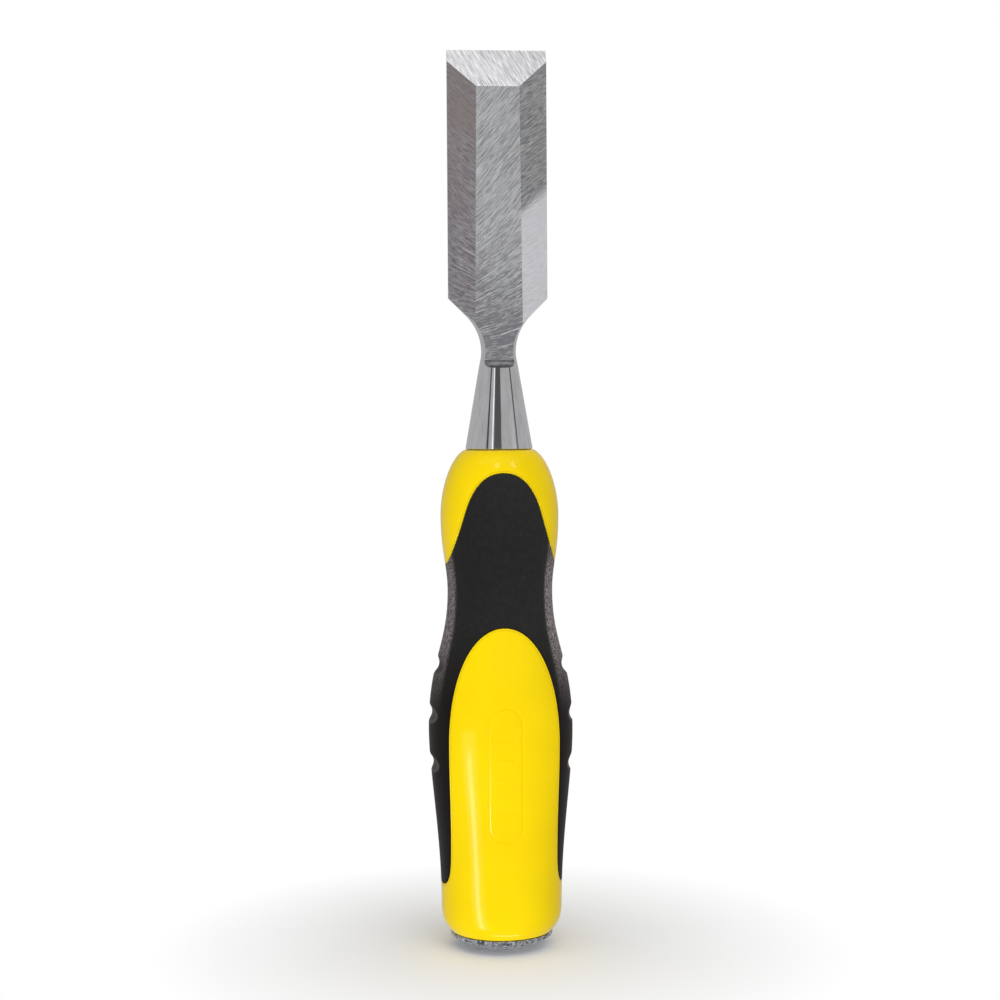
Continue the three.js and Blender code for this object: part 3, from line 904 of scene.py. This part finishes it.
def black_rubber():
    """Satin black, with a speckled moulded grain at the sides, paler there as painted sheen, and paler rims
    on the notches as a painted highlight.
    """
    made, tree, shader = new_material("black_rubber")
    place = object_place(tree)
    side, rim, scoop = (add(tree, "ShaderNodeAttribute", attribute_name=key).outputs["Fac"]
                        for key in ("side_grain_and_sheen", "notch_rim_highlight", "notch_scoop"))
    grain = noise(tree, place, 1900, 3.0, 0.75)
    skin = noise(tree, place, 700, 2.0)
    dust = noise(tree, place, 1300, 1.0)
    height = add(tree, "ShaderNodeSeparateXYZ", {"Vector": place}).outputs["Z"]
    tongue = mixed(tree, ranged(tree, skin, 0.35, 0.65, 0.0, 1.0),
                   (0.0205, 0.0205, 0.0205), (0.025, 0.025, 0.0245))
    smooth = mixed(tree, ranged(tree, height, 0.064, 0.084, 1.0, 0.0), tongue, (0.012, 0.0085, 0.008))
    # The pale speckle at the sides: moulded grain, made paler as painted sheen.
    speckle_and_sheen = mixed(tree, ranged(tree, grain, 0.38, 0.62, 0.0, 1.0),
                    (0.035, 0.026, 0.028), (0.40, 0.35, 0.35))
    hollow = mixed(tree, ranged(tree, grain, 0.35, 0.65, 0.0, 1.0),
                   (0.02, 0.014, 0.012), (0.07, 0.055, 0.052))
    body = mixed(tree, scoop, mixed(tree, side, smooth, speckle_and_sheen), hollow)
    # Paler rims round the notches: a painted highlight.
    rim_highlighted = mixed(tree, rim, body, (0.10, 0.09, 0.088))
    spotted = mixed(tree, ranged(tree, dust, 0.765, 0.79, 0.0, 0.5), rim_highlighted, (0.10, 0.10, 0.095))
    relief = added(tree, math_node(tree, "MULTIPLY", grain, ranged(tree, side, 0, 1, 0.1, 1.0)),
                   math_node(tree, "MULTIPLY", skin, 0.15))
    connect(tree, shader, spotted, ranged(tree, side, 0.0, 1.0, 0.5, 0.66),
            bump(tree, relief, 0.5, 0.00008))
    shader.inputs["Specular IOR Level"].default_value = 0.12
    return made


def cap_steel():
    """Matt, mottled and lightly dented steel."""
    made, tree, shader = new_material("cap_steel")
    place = object_place(tree)
    dents = noise(tree, place, 380, 3.0)
    grain = noise(tree, place, 1100, 3.0, 0.65)
    tone = math_node(tree, "MULTIPLY", ranged(tree, grain, 0.38, 0.62, 0.0, 1.0),
                     ranged(tree, dents, 0.3, 0.7, 0.75, 1.0))
    height = added(tree, grain, math_node(tree, "MULTIPLY", dents, 1.5))
    connect(tree, shader, mixed(tree, tone, (0.12, 0.13, 0.15), (0.93, 0.96, 1.0)),
            ranged(tree, grain, 0.3, 0.7, 0.62, 0.5), bump(tree, height, 0.25, 0.00006))
    shader.inputs["Metallic"].default_value = 1.0
    return made


def mark_grip(grip):
    """Stores where the grip's moulded side grain with its painted sheen, notch hollows and notch rims, which
    get a painted highlight, are.
    """
    mesh = grip.data
    places = np.empty(len(mesh.vertices) * 3)
    mesh.vertices.foreach_get("co", places)
    points = places.reshape(-1, 3) / MM
    x, y, z = points.T
    across = np.abs(x) / np.interp(z, HEIGHTS, WIDE)
    forward = np.abs(y) / np.interp(z, HEIGHTS, DEEP)
    band_start = np.where(x < 0, *BAND_STARTS)
    band = smoothstep(band_start, band_start + BAND_BLEND, across)
    fainter_above = 1 - 0.5 * smoothstep(*GRAIN_FAINTER, z)
    # The side band carries the grain and its painted sheen.
    set_values(mesh, "side_grain_and_sheen", band * smoothstep(*GRAIN_STARTS, z) * fainter_above)
    reach, limit = notch_surface(points)
    off_notch = np.abs(reach - limit)
    under_skin = 1 - across ** SQUARENESS - forward ** SQUARENESS
    scoop = smoothstep(0.015, 0.05, under_skin) * (off_notch < 0.1)
    set_values(mesh, "notch_scoop", scoop)
    # The paler notch rims are a painted highlight.
    set_values(mesh, "notch_rim_highlight", (1 - smoothstep(0.05, 0.3, off_notch)) * (1 - scoop))


# ---- build the pieces ----

# Each face of the one steel has its own dark and light colours, set to how bright it looks, so part of the
# light it reflects is painted into its colour.
BLADE_FINISH = {
    "polished": polished_steel(),
    "front": ground_steel("ground_front", (0.36, 0.36, 0.39), (0.98, 0.99, 1.0), 0.32, 1.2, low_slope=0.15,
                          tone_low=0.05, tone_high=0.62),
    "left_bevel": ground_steel("ground_left", (0.27, 0.25, 0.275), (0.70, 0.67, 0.71), 0.34, -0.85,
                               low_slope=-0.1, tone_low=0.40, tone_high=0.40, warm=(0.44, 0.365, 0.35)),
    "right_bevel": ground_steel("ground_right", (0.20, 0.20, 0.21), (0.62, 0.62, 0.63), 0.34, 0.75,
                                low_slope=0.25, pass_reflection_colour=(0.95, 0.94, 0.99)),
    "cutting_bevel": ground_steel("ground_edge", (0.34, 0.33, 0.35), (0.93, 0.92, 0.93), 0.30, -1.8),
    "back": ground_steel("ground_back", (0.38, 0.38, 0.40), (0.70, 0.70, 0.72), 0.30, 0.3, low_slope=0.1),
    "run_out": ground_steel("ground_run_out", (0.10, 0.10, 0.11), (0.30, 0.30, 0.32), 0.36, 0.0),
    "hairline": ground_steel("ridge_line", (0.09, 0.05, 0.05), (0.26, 0.17, 0.17), 0.4, 0.0),
}

skin_map = quarter_map()
core = core_piece(*skin_map)
grip = grip_piece(*skin_map)
mark_grip(grip)
blade = blade_piece()
cap = cap_piece()
core.data.materials.append(yellow_plastic())
grip.data.materials.append(black_rubber())
cap.data.materials.append(cap_steel())

for piece, node, slot in ((blade, "blade", "blade_steel"), (core, "handle_core", "yellow_plastic"),
                          (grip, "soft_grip", "black_rubber"), (cap, "strike_cap", "cap_steel")):
    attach(piece, "root")
    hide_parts(node)


# ---- stage, light and camera ----

# Soft boxes round the tool: azimuth (0 in front, + to the right) and elevation of the middle, width and
# height, all in degrees, and brightness over the room's.
ROOM_LIGHT = 0.5
SOFT_BOXES = {
    "dark_flag": (-9.5, 25, 30, 20, -0.4),
    "bright_edge": (-28, 25, 6, 22, 0.9),
    "left_gap": (-47, 24, 9, 26, -0.45),
    "right_gap": (64, 24, 9, 26, -0.45),
    "right_card": (53, 4, 26, 26, 0.2),
    "overhead": (0, 60, 150, 30, 0.7),
}
BOX_EDGE = 2.0

# Lamps: azimuth, elevation, width, height, brightness, height aimed at. All but the fill give the highlights
# on the yellow, and light nothing else.
FILL_LAMP = (12, 30, 53, 53, 1.15, 115)
HANDLE_LAMPS = {
    "low_glow": (-42, -25, 24, 34, 2.4, 60),
    "low_strip": (-42, -27, 8, 28, 12, 60),
    "crown_left": (-9, 46, 9, 12, 8, 120),
    "crown_right": (35, 46, 9, 12, 8, 120),
    "foot_spot": (10, -64, 36, 6, 16, 8),
}

BACKDROP_WHITE, BACKDROP_RADIUS, FLOOR_REACH = 1.0, 11, 12.0
FLOOR_FADE = (0.012, 0.09)
CAMERA = {"target": (0.00018, 0, 0.1152), "azimuth": -5.0, "elevation": 2.73, "distance": 0.5006,
          "lens": 70.25, "sensor": 36, "roll": -0.34}


def seen_by_camera_only(thing):
    """Keeps a piece of the stage out of reflections, bounced light and shadows."""
    thing.visible_diffuse = False
    thing.visible_glossy = False
    thing.visible_transmission = False
    thing.visible_shadow = False


def white_glow(tree):
    """The plain white of the backdrop."""
    return add(tree, "ShaderNodeEmission", {"Color": (1, 1, 1, 1), "Strength": BACKDROP_WHITE}).outputs[0]


def pale_floor():
    """A pale floor that takes the tool's soft shadow, and turns into the backdrop's white further out."""
    bpy.ops.mesh.primitive_plane_add(size=2 * FLOOR_REACH)
    floor = bpy.context.object
    floor.name = "floor"
    made, tree, shader = new_material("pale_floor")
    shader.inputs["Base Color"].default_value = (0.95, 0.95, 0.95, 1)
    shader.inputs["Roughness"].default_value = 1.0
    shader.inputs["Specular IOR Level"].default_value = 0.0
    distance = add(tree, "ShaderNodeVectorMath", {0: object_place(tree)}, operation="LENGTH").outputs["Value"]
    blend = add(tree, "ShaderNodeMixShader", {0: ranged(tree, distance, *FLOOR_FADE, 0.0, 1.0),
                                              1: shader.outputs[0], 2: white_glow(tree)})
    tree.links.new(blend.outputs[0], tree.nodes["Material Output"].inputs["Surface"])
    floor.data.materials.append(made)
    seen_by_camera_only(floor)


def white_backdrop():
    """A plain white dome round everything."""
    bpy.ops.mesh.primitive_uv_sphere_add(segments=48, ring_count=24, radius=BACKDROP_RADIUS)
    dome = bpy.context.object
    dome.name = "backdrop"
    made = bpy.data.materials.new("backdrop_white")
    made.use_nodes = True
    tree = made.node_tree
    tree.nodes.clear()
    add(tree, "ShaderNodeOutputMaterial", {"Surface": white_glow(tree)})
    dome.data.materials.append(made)
    seen_by_camera_only(dome)


def studio_world():
    """A dim room with soft boxes, each a bright patch of the sky with soft edges."""
    made = bpy.data.worlds.new("studio")
    bpy.context.scene.world = made
    made.use_nodes = True
    tree = made.node_tree
    way = add(tree, "ShaderNodeSeparateXYZ", {"Vector": add(tree, "ShaderNodeTexCoord").outputs["Generated"]})
    x, y, z = (way.outputs[k] for k in range(3))
    azimuth = math_node(tree, "ARCTAN2", x, math_node(tree, "MULTIPLY", y, -1.0))
    elevation = math_node(tree, "ARCSINE", z)
    total = ROOM_LIGHT
    for middle, height, width, tall, power in SOFT_BOXES.values():
        turn = math_node(tree, "ABSOLUTE", math_node(tree, "SUBTRACT", azimuth, math.radians(middle)))
        rise = math_node(tree, "ABSOLUTE", math_node(tree, "SUBTRACT", elevation, math.radians(height)))
        patch = power
        for value, size in ((turn, width), (rise, tall)):
            edge = math.radians(size / 2)
            inside_box = ranged(tree, value, edge - math.radians(BOX_EDGE), edge, 1.0, 0.0)
            patch = math_node(tree, "MULTIPLY", inside_box, patch)
        total = added(tree, patch, total)
    tree.links.new(total, tree.nodes["Background"].inputs["Strength"])
    tree.nodes["Background"].inputs["Color"].default_value = (1, 1, 1, 1)


def toward(azimuth, elevation):
    """Unit vector from the tool toward a direction in degrees, azimuth 0 being in front."""
    turn, rise = math.radians(azimuth), math.radians(elevation)
    return Vector((math.sin(turn) * math.cos(rise), -math.cos(turn) * math.cos(rise), math.sin(rise)))


def lamp(name, azimuth, elevation, width, height, brightness, aim_z, lit=None):
    """A soft rectangular lamp a metre away, its sizes in degrees. lit are the only pieces it lights."""
    distance = 1.0
    data = bpy.data.lights.new(name, "AREA")
    data.shape = "RECTANGLE"
    data.size, data.size_y = (2 * distance * math.tan(math.radians(size / 2)) for size in (width, height))
    data.energy = brightness * math.pi * data.size * data.size_y
    light = bpy.data.objects.new(name, data)
    away = toward(azimuth, elevation)
    light.location = away * distance + Vector((0, 0, aim_z * MM))
    light.rotation_euler = away.to_track_quat("Z", "Y").to_euler()
    light.visible_camera = False
    bpy.context.scene.collection.objects.link(light)
    if lit:
        group = bpy.data.collections.new(name + "_lights")
        for piece in lit:
            group.objects.link(piece)
        light.light_linking.receiver_collection = group
    return light


def camera():
    """The photo's view: from near by, a little to the left and a little above the middle of the tool."""
    away = toward(CAMERA["azimuth"], CAMERA["elevation"])
    data = bpy.data.cameras.new("camera")
    data.sensor_width = CAMERA["sensor"]
    data.lens = CAMERA["lens"]
    data.clip_start = 0.01
    made = bpy.data.objects.new("camera", data)
    made.location = Vector(CAMERA["target"]) + away * CAMERA["distance"]
    roll = Matrix.Rotation(math.radians(CAMERA["roll"]), 3, "Z")
    made.rotation_euler = (away.to_track_quat("Z", "Y").to_matrix() @ roll).to_euler()
    bpy.context.scene.collection.objects.link(made)
    bpy.context.scene.camera = made


pale_floor()
white_backdrop()
studio_world()
lamp("fill", *FILL_LAMP).visible_glossy = False
for name, place in HANDLE_LAMPS.items():
    lamp(name, *place, lit=(core,))
camera()
bpy.context.scene.view_settings.view_transform = "Standard"
